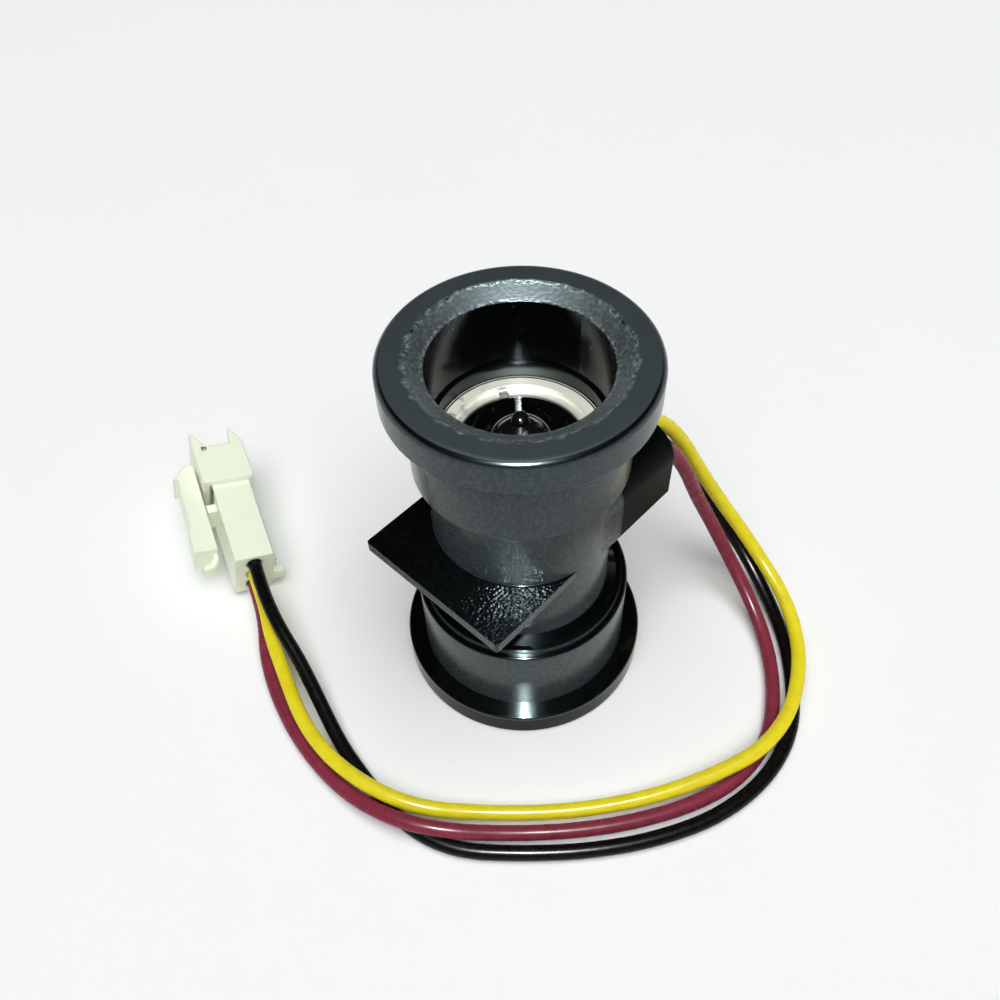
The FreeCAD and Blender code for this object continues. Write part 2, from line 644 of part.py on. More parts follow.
def make_hall_leads():
    """Bent leads from the pick-up's side to the back of the board."""
    leads = []
    middle = f"({RECESS_FLOOR} + dim.seat_gap + dim.hall_thickness / 2)"
    side = "dim.hall_width / 2"
    for index in range(LEAD_COUNT):
        body = new_body(f"hall_lead_{index}")
        profile = outline(body, f"lead_outline_{index}", "XY_Plane", [
            (f"{middle} - dim.lead_width / 2", side),
            (f"{middle} + dim.lead_width / 2", side),
            (f"{middle} + dim.lead_width / 2", f"{side} + dim.lead_reach - dim.lead_width"),
            (LEDGE, f"{side} + dim.lead_reach - dim.lead_width"),
            (LEDGE, f"{side} + dim.lead_reach"),
            (f"{middle} - dim.lead_width / 2", f"{side} + dim.lead_reach")],
            offset=f"{POCKET_MIDDLE} + dim.lead_pitch * {index - 1}")
        extruded(body, f"lead_{index}", profile, "dim.lead_width", both_ways=True)
        leads.append(body)
    return grouped("hall_leads", leads)


def make_board_capacitor():
    return box("board_capacitor", "dim.capacitor_height", "dim.capacitor_width", "dim.capacitor_length",
               f"{LEDGE} - dim.capacitor_height", "-dim.capacitor_offset - dim.capacitor_width / 2",
               f"{POCKET_MIDDLE} - dim.capacitor_length / 2")


def at_wire_exit(piece, route, start):
    """Lay an upright round piece along X on a wire's exit."""
    piece.Placement = FreeCAD.Placement(
        Vector(0, route[0][1], route[0][2]), FreeCAD.Rotation(Vector(0, 1, 0), 90))
    return bind(piece, Placement__Base__x=start)


def make_solder_joints():
    """Cones of solder between the board and the wires' bared ends."""
    joints = []
    for colour, route in WIRE_ROUTES.items():
        joint = doc.addObject("Part::Cone", f"solder_{colour}")
        bind(joint, Radius1="dim.solder_radius", Radius2="dim.wire_radius / 2",
             Height="dim.solder_height")
        joints.append(at_wire_exit(joint, route, BOARD_FACE))
    return grouped("solder_joints", joints)


def make_potting_compound():
    """Resin that fills the pod's pocket over the board, with the wires' holes through it."""
    depth = "dim.potting_depth"
    block = box("potting_block", depth, "dim.pocket_width", "dim.pocket_height", BOARD_FACE,
                "-dim.pocket_width / 2", POCKET_BOTTOM)
    holes = []
    for colour, route in WIRE_ROUTES.items():
        hole = doc.addObject("Part::Cylinder", f"potting_hole_{colour}")
        bind(hole, Radius="dim.wire_radius + dim.seat_gap", Height=depth)
        holes.append(at_wire_exit(hole, route, BOARD_FACE))
    return cut("potting_compound", block, fused("potting_holes", holes))


def tube_path(points):
    """Straight runs joined by tangent arcs as large as the runs allow, with the arcs' radii."""
    edges = []
    radii = []
    start = points[0]
    for before, corner, after in zip(points, points[1:], points[2:]):
        run_in = corner - before
        run_out = after - corner
        trim = ARC_SHARE * min(run_in.Length, run_out.Length)
        radii.append(trim / math.tan(run_in.getAngle(run_out) / 2))
        into = Vector(run_in).normalize()
        out_of = Vector(run_out).normalize()
        first = corner - into * trim
        last = corner + out_of * trim
        inward = (out_of - into).normalize()
        sag = radii[-1] * (1 / math.cos(run_in.getAngle(run_out) / 2) - 1)
        edges.append(Part.LineSegment(start, first).toShape())
        edges.append(Part.Arc(first, corner + inward * sag, last).toShape())
        start = last
    edges.append(Part.LineSegment(start, points[-1]).toShape())
    return Part.Wire(edges), radii


def make_wire(colour):
    route = [Vector(*point) for point in WIRE_ROUTES[colour]]
    exit_point = Vector(value(f"{BOARD_FACE} + dim.solder_height"), route[0].y, route[0].z)
    points = [exit_point] + route
    path, radii = tube_path(points)
    radius = value("dim.wire_radius")
    section = Part.Wire(Part.makeCircle(radius, points[0], points[1] - points[0]))
    wire = doc.addObject("Part::Feature", f"wire_{colour}")
    wire.Shape = path.makePipeShell([section], True, False)
    fill = wire.Shape.Volume / (math.pi * radius ** 2 * path.Length)
    print(f"wire_{colour}: length {path.Length:.1f}, volume ratio {fill:.4f}, "
          f"radii {min(radii):.1f} to {max(radii):.1f}")
    return wire


def contact_places():
    return [("0", f"{step} * dim.contact_pitch") if step else ("0", "0") for step in (1, 0, -1)]


def make_connector_housing():
    """Nylon plug: a narrow wire end, a wider shroud with horns, and the bridge of its latch lever."""
    body = new_body("connector_housing")
    half_rear = "dim.plug_rear_thickness / 2"
    rear = outline(body, "rear_outline", "YZ_Plane", rectangle(
        f"-{half_rear}", half_rear, "-dim.plug_rear_width / 2", "dim.plug_rear_width / 2"))
    extruded(body, "rear", rear, PLUG_LENGTH)
    front = outline(body, "front_outline", "YZ_Plane", rectangle(
        "-dim.plug_front_right", "dim.plug_front_left",
        "-dim.plug_front_width / 2", "dim.plug_front_width / 2"), offset="dim.plug_rear_length")
    extruded(body, "front", front, "dim.plug_front_length")
    rail = outline(body, "rail_outline", "YZ_Plane", rectangle(
        f"-{half_rear} - dim.plug_rail_height", f"-{half_rear} + dim.plug_wall",
        "-dim.plug_rail_width / 2", "dim.plug_rail_width / 2"), offset="dim.plug_wall")
    extruded(body, "rail", rail, "dim.plug_rear_length")
    bridge = outline(body, "bridge_outline", "XY_Plane", rectangle(
        "dim.lever_hinge - dim.lever_bridge_length / 2", "dim.lever_hinge + dim.lever_bridge_length / 2",
        f"{half_rear} - dim.plug_wall", f"{LEVER_INNER} - dim.lever_bridge_gap"))
    extruded(body, "bridge", bridge, "dim.lever_width - 2 * dim.edge_round", both_ways=True)
    socket = outline(body, "socket_outline", "YZ_Plane", rectangle(
        "-dim.plug_front_right + dim.plug_wall", "dim.plug_front_left - dim.plug_wall",
        "-dim.plug_front_width / 2 + dim.plug_wall", "dim.plug_front_width / 2 - dim.plug_wall"),
        offset=PLUG_LENGTH)
    extruded(body, "socket", socket, "dim.plug_socket_depth", "PartDesign::Pocket")
    notch = outline(body, "notch_outline", "XY_Plane", rectangle(
        f"{PLUG_LENGTH} - dim.plug_horn_length", PLUG_LENGTH,
        "-dim.plug_front_right + dim.plug_horn_width", "dim.plug_front_left - dim.plug_horn_width"))
    extruded(body, "notch", notch, "dim.plug_front_width", "PartDesign::Pocket", both_ways=True)
    holes = circles(body, "hole_circles", "YZ_Plane", contact_places(),
                    "dim.wire_radius + dim.wire_clearance")
    extruded(body, "holes", holes, PLUG_LENGTH, "PartDesign::Pocket", reverse=True)
    body.Placement = PLUG_PLACE
    return body


def make_connector_latch_lever():
    """Rocking lever beside the plug: thumb pad at the wire end, catch at the front."""
    body = new_body("connector_latch_lever")
    outer = f"{LEVER_INNER} + dim.lever_thickness"
    crest = "dim.lever_tip - dim.lever_width / 2"
    profile = outline(body, "lever_outline", "XY_Plane", [
        ("dim.lever_tail", f"{LEVER_INNER} + dim.edge_round"),
        ("dim.lever_tail + dim.lever_thickness", LEVER_INNER),
        ("dim.lever_tip", LEVER_INNER),
        ("dim.lever_tip", f"{LEVER_INNER} + dim.lever_thickness / 2"),
        (crest, f"{outer} + dim.lever_catch_height"),
        (crest, outer),
        ("dim.lever_tail + dim.lever_width", outer),
        ("dim.lever_tail + dim.lever_width - dim.lever_pad_height", f"{outer} + dim.lever_pad_height"),
        ("dim.lever_tail", f"{outer} + dim.lever_pad_height")])
    extruded(body, "lever", profile, "dim.lever_width", both_ways=True)
    body.Placement = PLUG_PLACE
    return body


def make_connector_contacts():
    """Crimped pins: a barrel behind each wire's end, and a thinner pin in the plug's socket."""
    contacts = []
    barrel_end = "(dim.contact_start + dim.contact_barrel_length)"
    for index, (across, up) in enumerate(contact_places()):
        body = new_body(f"contact_{index}")
        barrel = circles(body, f"barrel_circle_{index}", "YZ_Plane", [(across, up)],
                         "dim.wire_radius + dim.wire_clearance - dim.seat_gap", "dim.contact_start")
        extruded(body, f"barrel_{index}", barrel, "dim.contact_barrel_length")
        shank = circles(body, f"pin_circle_{index}", "YZ_Plane", [(across, up)],
                        "dim.contact_pin_radius", barrel_end)
        extruded(body, f"pin_{index}", shank, f"{PLUG_LENGTH} - dim.contact_pin_setback - {barrel_end}")
        contacts.append(body)
    group = grouped("connector_contacts", contacts)
    group.Placement = PLUG_PLACE
    return group


sub_parts = [
    make_flow_body(),
    make_retaining_ring(),
    make_inlet_stator(),
    make_bearing("inlet_bearing", INLET_FACE),
    make_rotor(),
    make_rotor_shaft(),
    make_ring_magnet(),
    make_magnet_cap(),
    make_thrust_washers(),
    make_outlet_support(),
    make_bearing("outlet_bearing", f"{OUTLET_FACE} - dim.bearing_length"),
    make_sensor_board(),
    make_hall_sensor(),
    make_hall_leads(),
    make_board_capacitor(),
    make_solder_joints(),
    make_potting_compound(),
    make_wire("yellow"),
    make_wire("red"),
    make_wire("black"),
    make_connector_housing(),
    make_connector_latch_lever(),
    make_connector_contacts(),
]

doc.recompute()
failed = [item.Name for item in doc.Objects if "Invalid" in item.State or "Error" in item.State]
if failed:
    raise RuntimeError(f"failed objects: {failed}")
for piece in sub_parts:
    if piece.Shape.isNull() or not piece.Shape.isValid() or not piece.Shape.Solids:
        raise RuntimeError(f"bad shape: {piece.Label}")

os.makedirs("parts", exist_ok=True)
for piece in sub_parts:
    piece.Shape.exportStep(f"parts/{piece.Label}.step")
    print(f"{piece.Label}: {len(piece.Shape.Solids)} solids, {piece.Shape.Volume:.2f} mm3")
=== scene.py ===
"""Looks of the water flow turbine: wires, trim, materials, floor, light and camera around the CAD frame."""
import json
import math

import bmesh
import bpy
from mathutils import Matrix, Vector


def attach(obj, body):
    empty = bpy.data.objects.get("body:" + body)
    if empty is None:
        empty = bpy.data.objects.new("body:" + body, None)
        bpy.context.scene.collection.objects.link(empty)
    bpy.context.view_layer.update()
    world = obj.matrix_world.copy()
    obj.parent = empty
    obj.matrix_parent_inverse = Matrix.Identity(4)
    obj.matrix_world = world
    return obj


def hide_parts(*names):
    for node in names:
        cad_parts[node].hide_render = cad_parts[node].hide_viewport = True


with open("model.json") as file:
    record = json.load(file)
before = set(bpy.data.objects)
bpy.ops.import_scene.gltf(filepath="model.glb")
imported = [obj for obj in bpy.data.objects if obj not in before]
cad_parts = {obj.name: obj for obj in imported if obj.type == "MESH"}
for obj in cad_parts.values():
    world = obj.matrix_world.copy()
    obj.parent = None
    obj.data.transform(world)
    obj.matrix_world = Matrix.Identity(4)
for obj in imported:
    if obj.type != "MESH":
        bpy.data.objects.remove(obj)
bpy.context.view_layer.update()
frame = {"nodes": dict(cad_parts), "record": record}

MM = 0.001
MICRON = 1e-6
PER_MM = 1000.0
WELD_DISTANCE = 1e-7
SHARP_ANGLE = 30.0


def colour(red, green, blue):
    """A colour as the shader's sockets take it."""
    return (red, green, blue, 1.0)


def turned(degrees, axis):
    """A turn about one axis."""
    return Matrix.Rotation(math.radians(degrees), 4, axis)


# Wire routes, the same points as in the part's source, in millimetres.
WIRE_RADIUS = 0.8
WIRE_ROUTES = {
    "yellow": [
        (11.8, -3.6, 27.0), (13.8, -3.6, 27.0), (15.9, -3.9, 26.4), (17.7, -4.5, 25.1),
        (19.5, -6.0, 21.9), (21.2, -8.1, 16.8), (23.1, -10.2, 11.8), (24.0, -13.4, 7.9),
        (23.7, -17.0, 5.3), (22.3, -21.1, 3.9), (19.4, -25.1, 3.0), (15.3, -28.1, 2.8),
        (10.2, -30.1, 2.8), (4.8, -30.2, 2.7), (-0.3, -28.3, 2.4), (-6.0, -25.1, 1.6),
        (-11.3, -21.1, 1.0), (-16.0, -16.8, 0.9), (-20.6, -11.8, 1.1), (-24.4, -7.7, 2.4),
        (-26.5, -2.8, 2.9), (-27.3, 3.1, 2.8), (-26.5, 9.0, 2.5), (-24.2, 14.9, 2.4),
        (-22.1, 20.0, 2.9), (-20.1, 23.4, 3.4), (-18.2, 27.8, 3.8), (-17.0, 30.6, 4.0),
    ],
    "red": [
        (11.8, -6.4, 25.2), (13.1, -6.4, 25.2), (14.5, -6.45, 24.8), (15.75, -6.65, 23.9),
        (16.8, -7.05, 22.45), (18.0, -8.0, 19.5), (19.5, -9.0, 14.8), (21.0, -10.7, 10.1),
        (21.3, -13.5, 6.1), (20.4, -17.3, 3.1), (18.6, -21.0, 1.3), (15.5, -24.6, 0.85),
        (11.5, -27.6, 0.85), (6.9, -29.9, 0.85), (0.9, -30.0, 0.85), (-4.8, -27.9, 0.85),
        (-10.4, -24.4, 0.85), (-15.3, -20.4, 0.85), (-20.1, -15.6, 1.0), (-24.7, -10.9, 2.5),
        (-27.2, -6.4, 2.6), (-28.5, -0.2, 1.4), (-28.1, 7.2, 0.9), (-26.3, 14.0, 0.85),
        (-23.7, 19.6, 0.95), (-20.9, 23.2, 1.4), (-18.5, 28.1, 1.8), (-17.3, 30.9, 2.1),
    ],
    "black": [
        (11.8, -4.2, 24.2), (13.8, -4.2, 24.2), (15.9, -4.4, 23.5), (17.7, -4.7, 22.1),
        (20.2, -5.2, 18.3), (22.7, -6.3, 13.2), (24.2, -8.6, 8.8), (24.8, -11.7, 5.4),
        (24.3, -15.3, 2.9), (22.2, -19.9, 1.2), (18.8, -24.5, 0.9), (14.3, -28.4, 0.85),
        (9.4, -31.3, 0.85), (3.1, -32.2, 0.85), (-3.7, -30.8, 0.85), (-10.2, -27.3, 0.85),
        (-15.8, -22.9, 0.85), (-20.8, -17.8, 0.85), (-24.9, -12.8, 0.85), (-26.5, -7.2, 0.85),
        (-26.0, -1.0, 0.85), (-25.1, 4.4, 1.0), (-23.5, 9.6, 1.8), (-21.9, 14.8, 3.1),
        (-21.1, 19.0, 4.6), (-19.8, 23.1, 5.4), (-17.8, 27.5, 5.7), (-16.6, 30.2, 6.0),
    ],
}

# The plug, as in the part's source: its place, and sizes in millimetres along, across and up.
# PAST is how far a cut or a joined piece reaches past the face it starts from.
PLUG_ORIGIN = Vector((-18.1, 28.0, 3.86))
PLUG_YAW = 66.0
PLUG_PITCH = -4.5
PLUG_ROLL = 13.0
PLUG_PLACE = (Matrix.Translation(PLUG_ORIGIN * MM)
              @ turned(PLUG_YAW, "Z")
              @ turned(PLUG_PITCH, "Y")
              @ turned(PLUG_ROLL, "X"))
HORN_ROOT = 17.9
HORN_TIP = 20.5
PAST = 0.1
SHROUD_RIGHT = -2.9
SHROUD_LEFT = 3.3
SHROUD_HALF = 4.1
HORN_WIDTH = 1.6
RIGHT_TIP = -1.7
WINDOW = 0.65
WINDOW_DEPTH = 0.6
REAR_RIGHT = -2.3
FOOT_LENGTH = 1.0
FOOT_REACH = 1.5
FOOT_LOW = -2.2
FOOT_HIGH = -0.6
LEVER_TAIL = 3.4
LEVER_TIP = 17.0
LEVER_INNER = 3.6
LEVER_THICKNESS = 2.3
LEVER_WIDTH = 3.8
LEVER_PAD = 0.4
LEVER_CATCH = 0.5
HOOK_LENGTH = 2.2
HOOK_THICKNESS = 0.5
HOOK_WIDTH = 1.4
HOOK_BEND = 0.35 * HOOK_LENGTH
HOOK_RISE = 0.55 * HOOK_LENGTH
HOOK_END = 0.9 * HOOK_LENGTH
# The hook's outline: how far along it, as a share of its length, and how far aside in millimetres.
HOOK_OUTLINE = (
    (0.0, HOOK_THICKNESS), (0.35, HOOK_THICKNESS), (0.65, HOOK_RISE), (0.7, HOOK_END),
    (1.0, HOOK_END), (0.9, HOOK_BEND), (0.4, 0.0), (0.0, 0.0),
)

# The retaining ring and the point of the stator's hub, in millimetres and degrees.
RING_OUTER = 8.45
# RING_GROOVE is the radius of a dark line painted on the ring as shade; the ring's shape has no cut there.
RING_GROOVE = 7.86
RING_GROOVE_HALF = 0.09
RING_BAND = 6.8
RING_TAB = 6.1
RING_FOOT = 33.2
RING_TOP = 34.0
TAB_TOP = 33.45
RING_START = 247.0
RING_SPAN = 342
NOTCH_START = 54.0
NOTCH_EVERY = 90.0
NOTCH_ARC = 8.0
NOTCH_LIP = 0.05
NOSE_FOOT_RADIUS = 2.35
NOSE_FOOT = 34.62
NOSE_STEPS = 48
BALL_RADIUS = 0.9
BALL_MIDDLE = 36.1
BALL_STEPS = 10

# Heights and radii of the body that its material follows, in millimetres.
TOP_FACE = 44.2
CHAMFER_FOOT = 43.1
CHAMFER_OUTER = 10.1
CHAMFER_INNER = 8.3
RIM_INNER = 11.8
BORE_FOOT = 33.0
POD_TOP = 30.2
POD_START = 4.5
PLATE_TOP = 22.7
TUBE_RADIUS = 9.2
BASE_TOP = 3.1

# Where the regions of that material change over, and how wide the mouth's frayed edge is, in millimetres.
# A slope is nothing on a wall and one on a level face.
TOP_LEVEL = TOP_FACE - 0.06
RIM_LEVEL = TOP_FACE - 1.0
FRAY_WIDTH = 1.2
WORN_OUTER = CHAMFER_OUTER - 0.35
WORN_INNER = CHAMFER_INNER + 0.325
BORE_EDGE = CHAMFER_INNER + 0.075
WALL_EDGE = CHAMFER_INNER + 0.15
WALL_FOOT = BASE_TOP - 0.2
FOOT_TOP = BASE_TOP - 0.4
LEVEL_SLOPE = 0.8
WALL_SLOPE = 0.4
PLATE_LOW = PLATE_TOP - 0.3
PLATE_HIGH = PLATE_TOP + 0.3
PLATE_EDGE = TUBE_RADIUS + 0.175
POD_FOOT = PLATE_TOP - 1.5
POD_EDGE = POD_START + 0.3
POD_SKIN = TUBE_RADIUS + 0.06

# The body's looks by region. Tones are pairs that a pattern mixes; later regions lie over earlier ones.
PLAIN_TONES = (colour(0.001, 0.0012, 0.0014), colour(0.004, 0.0045, 0.005))
# The walls' grey is painted reflection: the black plastic's sheen of the pale floor, put into the colour of
# upright faces.
WALL_PAINTED_REFLECTION_TONES = (colour(0.032, 0.041, 0.043), colour(0.057, 0.069, 0.072))
TOP_TONES = (colour(0.0245, 0.032, 0.037), colour(0.0345, 0.045, 0.052))
CHAMFER_TONES = (colour(0.014, 0.0175, 0.0195), colour(0.17, 0.19, 0.2))
DUST_TONE = colour(0.5, 0.52, 0.53)
PLAIN_ROUGHNESS = 0.09
BODY_ROUGHNESS = {
    "walls": 0.22, "rim": 0.17, "top": 0.5, "chamfer": 0.37, "plate": 0.15, "pod": 0.4, "bore": 0.16,
}
PLAIN_SHINE = 0.45
BODY_SHINE = {"walls": 0.16, "foot": 0.06, "bore": 0.12, "pod": 0.03, "top": 0.12, "chamfer": 1.0}

# Tones of the stator, and of the steel ring.
STATOR_TONES = (colour(0.006, 0.006, 0.007), colour(0.05, 0.05, 0.045))
BAND_TONE = colour(0.52, 0.53, 0.475)
# The tabs' darker tone is painted shade: the lower tabs are coloured darker than the band instead of being
# darkened by the light.
TAB_PAINTED_SHADE_TONE = colour(0.36, 0.37, 0.33)
STAIN_TONE = colour(0.2, 0.19, 0.165)
# A near-black painted shade line on the steel band.
GROOVE_PAINTED_SHADE_TONE = colour(0.03, 0.032, 0.03)

# Looks of the plainer materials: two tones, and the range of roughness.
METAL_LOOKS = {
    "shaft_steel": dict(tone=colour(0.62, 0.62, 0.61), low=0.14, high=0.25, scratch=(1.0, 1.0, 6.0)),
    "tinned_metal": dict(tone=colour(0.75, 0.74, 0.7), low=0.25, high=0.4),
    "contact_metal": dict(tone=colour(0.78, 0.74, 0.62), low=0.2, high=0.35),
}
MOULDED_LOOKS = {
    "rotor_plastic": dict(tone=colour(0.05, 0.05, 0.055), deep=colour(0.04, 0.04, 0.044), low=0.35, high=0.5),
    "bearing_plastic": dict(tone=colour(0.7, 0.66, 0.52), deep=colour(0.6, 0.56, 0.43), low=0.3, high=0.4),
    "magnet_ferrite": dict(tone=colour(0.03, 0.03, 0.032), deep=colour(0.02, 0.02, 0.02), low=0.5, high=0.65),
    "board_green": dict(tone=colour(0.02, 0.16, 0.06), deep=colour(0.015, 0.12, 0.045), low=0.3, high=0.4),
    "chip_black": dict(tone=colour(0.02, 0.02, 0.021), deep=colour(0.012, 0.012, 0.013), low=0.5, high=0.65),
    "capacitor_ceramic": dict(tone=colour(0.42, 0.3, 0.16), deep=colour(0.34, 0.24, 0.12),
                              low=0.35, high=0.5),
    "potting_black": dict(tone=colour(0.01, 0.01, 0.011), deep=colour(0.006, 0.006, 0.007),
                          low=0.12, high=0.3),
    "plug_nylon": dict(tone=colour(0.9, 0.96, 0.78), deep=colour(0.85, 0.91, 0.73), low=0.35, high=0.5,
                       scatter=0.2, edge=0.3),
}
WIRE_LOOKS = {
    "wire_yellow": dict(tone=colour(0.8, 0.69, 0.02), deep=colour(0.72, 0.6, 0.012)),
    "wire_red": dict(tone=colour(0.23, 0.03, 0.055), deep=colour(0.18, 0.022, 0.042)),
    "wire_black": dict(tone=colour(0.002, 0.002, 0.002), deep=colour(0.004, 0.004, 0.004)),
}
DULLED = 0.75
SPECK_CORE = 0.6

# Floor, room, lamps and camera, in metres, watts and degrees.
FLOOR_HALF = 4.0
FLOOR_TONES = (colour(0.9, 0.91, 0.91), colour(0.92, 0.93, 0.93))
ROOM_TONE = colour(0.97, 1.0, 1.0)
ROOM_FADE = {"From Min": 0.1, "From Max": 0.4, "To Min": 0.75, "To Max": 0.001}
OBJECT_MIDDLE = Vector((0.0, 0.0, 0.022))
FILL_PLACE = (-0.3, -0.4, 2.2)
FILL_SIZE = 2.4
FILL_POWER = 67.5
FLASH_PLACE = (-0.0400, -0.0369, 0.1045)
FLASH_SIZE = 0.004
FLASH_POWER = 0.62
CAMERA_PLACE = (-0.04447, -0.04139, 0.09960)
CAMERA_TURN = -45.0
CAMERA_TILT = 39.01
CAMERA_ROLL_RADIANS = -0.043
LENS = 34.45
SENSOR_WIDTH = 36.0
CLIP_START = 0.005
CLIP_END = 20.0


class Recipe:
    """A node material with one Principled shader, and short ways to add nodes to it."""

    def __init__(self, name, **sockets):
        self.material = bpy.data.materials.new(name)
        self.material.use_nodes = True
        self.tree = self.material.node_tree
        self.shader = self.tree.nodes["Principled BSDF"]
        for socket, given in sockets.items():
            self.feed(socket.replace("_", " "), given)
        place = self.add("TexCoord").outputs["Object"]
        self.where = self.vector("SCALE", place, scale=PER_MM)
        split = self.add("SeparateXYZ", {0: self.where})
        self.x, self.y, self.z = split.outputs
        squares = [self.calc("MULTIPLY", along, along) for along in (self.x, self.y)]
        self.radius = self.calc("SQRT", self.calc("ADD", *squares))

    def give(self, socket, given):
        """Links a socket to another one, or sets its value."""
        if isinstance(given, bpy.types.NodeSocket):
            self.tree.links.new(given, socket)
        else:
            socket.default_value = given

    def feed(self, socket, given):
        """Gives a socket of the shader its input."""
        self.give(self.shader.inputs[socket], given)

    def add(self, kind, inputs=None, **settings):
        """Adds a node with its settings and inputs."""
        node = self.tree.nodes.new("ShaderNode" + kind)
        for name, setting in settings.items():
            setattr(node, name, setting)
        for name, given in (inputs or {}).items():
            self.give(node.inputs[name], given)
        return node

    def calc(self, operation, *inputs):
        """One step of arithmetic on numbers."""
        return self.add("Math", dict(enumerate(inputs)), operation=operation).outputs[0]

    def vector(self, operation, first, second=None, scale=None):
        """One step of arithmetic on vectors."""
        inputs = {0: first}
        if second is not None:
            inputs[1] = second
        if scale is not None:
            inputs["Scale"] = scale
        return self.add("VectorMath", inputs, operation=operation).outputs[0]

    def noise(self, scale, detail=2.0, stretch=None):
        """Noise from 0 to 1, with scale in cycles per millimetre."""
        where = self.where
        if stretch is not None:
            where = self.vector("MULTIPLY", where, stretch)
        return self.add("TexNoise", {"Vector": where, "Scale": scale, "Detail": detail}).outputs["Fac"]

    def ramp(self, given, low, high, start=0.0, end=1.0):
        """Goes smoothly from start to end as the input goes from low to high."""
        made = self.add("MapRange", {"Value": given, "From Min": low, "From Max": high,
                                     "To Min": start, "To Max": end}, interpolation_type="SMOOTHSTEP")
        return made.outputs[0]

    def above(self, given, level, soft):
        """One above a level and nothing below it, with a soft change on either side."""
        return self.ramp(given, level - soft, level + soft)

    def below(self, given, level, soft):
        """One below a level and nothing above it, with a soft change on either side."""
        return self.ramp(given, level - soft, level + soft, 1.0, 0.0)

    def band(self, given, low, high, soft):
        """One between low and high, and nothing outside."""
        return self.both(self.above(given, low, soft), self.below(given, high, soft))

    def both(self, *masks):
        """The product of masks."""
        result = masks[0]
        for mask in masks[1:]:
            result = self.calc("MULTIPLY", result, mask)
        return result

    def mix(self, share, first, second):
        """Mixes two colours."""
        return self.add("Mix", {0: share, 6: first, 7: second}, data_type="RGBA").outputs[2]

    def blend(self, share, first, second):
        """Mixes two numbers."""
        return self.add("Mix", {0: share, 2: first, 3: second}, data_type="FLOAT").outputs[0]

    def slope(self):
        """How far a face turns from upright: nothing on a wall, one on a level face."""
        normal = self.add("NewGeometry").outputs["Normal"]
        return self.calc("ABSOLUTE", self.add("SeparateXYZ", {0: normal}).outputs[2])

    def specks(self, per_mm, size, share):
        """Small separate specks in a share of the cells of a Voronoi pattern."""
        cells = self.add("TexVoronoi", {"Vector": self.where, "Scale": per_mm})
        near = self.ramp(cells.outputs["Distance"], size * SPECK_CORE, size, 1.0, 0.0)
        chosen = self.add("SeparateColor", {0: cells.outputs["Color"]}).outputs[0]
        return self.calc("MULTIPLY", near, self.calc("LESS_THAN", chosen, share))

    def bump(self, layers, edge=0.0):
        """Bump from pairs of a height and its depth in micrometres, over edges rounded in millimetres."""
        normal = None
        if edge:
            normal = self.add("Bevel", {"Radius": edge * MM}, samples=4).outputs[0]
        for height, depth in layers:
            inputs = {"Height": height, "Strength": 1.0, "Distance": depth * MICRON}
            if normal is not None:
                inputs["Normal"] = normal
            normal = self.add("Bump", inputs).outputs[0]
        self.feed("Normal", normal)


def body_regions(recipe):
    """Masks of the body's regions by name, and one of the worn edges of its mouth."""
    z = recipe.z
    radius = recipe.radius
    slope = recipe.slope()
    ragged = recipe.noise(scale=0.9, detail=5.0)
    fray = recipe.calc("MULTIPLY_ADD", ragged, FRAY_WIDTH, recipe.calc("SUBTRACT", radius, FRAY_WIDTH / 2))
    pod = recipe.both(recipe.above(recipe.x, POD_EDGE, soft=0.3), recipe.above(radius, POD_SKIN, soft=0.04),
                      recipe.band(z, POD_FOOT, POD_TOP, soft=0.1))
    regions = {
        "top": recipe.above(z, TOP_LEVEL, soft=0.04),
        "rim": recipe.both(recipe.above(z, RIM_LEVEL, soft=0.1), recipe.above(radius, RIM_INNER, soft=0.1)),
        "chamfer": recipe.both(recipe.above(z, CHAMFER_FOOT, soft=0.1),
                               recipe.below(fray, CHAMFER_OUTER, soft=0.2)),
        "bore": recipe.both(recipe.band(z, BORE_FOOT, CHAMFER_FOOT, soft=0.2),
                            recipe.below(radius, BORE_EDGE, soft=0.025)),
        "plate": recipe.both(recipe.band(z, PLATE_LOW, PLATE_HIGH, soft=0.1),
                             recipe.above(radius, PLATE_EDGE, soft=0.125),
                             recipe.above(slope, LEVEL_SLOPE, soft=0.1)),
        "pod": pod,
        "walls": recipe.both(recipe.below(slope, WALL_SLOPE, soft=0.2),
                             recipe.above(radius, WALL_EDGE, soft=0.05),
                             recipe.above(z, WALL_FOOT, soft=0.2),
                             recipe.below(pod, 0.5, soft=0.5)),
        "foot": recipe.below(z, FOOT_TOP, soft=0.1),
    }
    worn = recipe.calc("MAXIMUM", recipe.above(fray, WORN_OUTER, soft=0.25),
                       recipe.below(radius, WORN_INNER, soft=0.175))
    return regions, worn


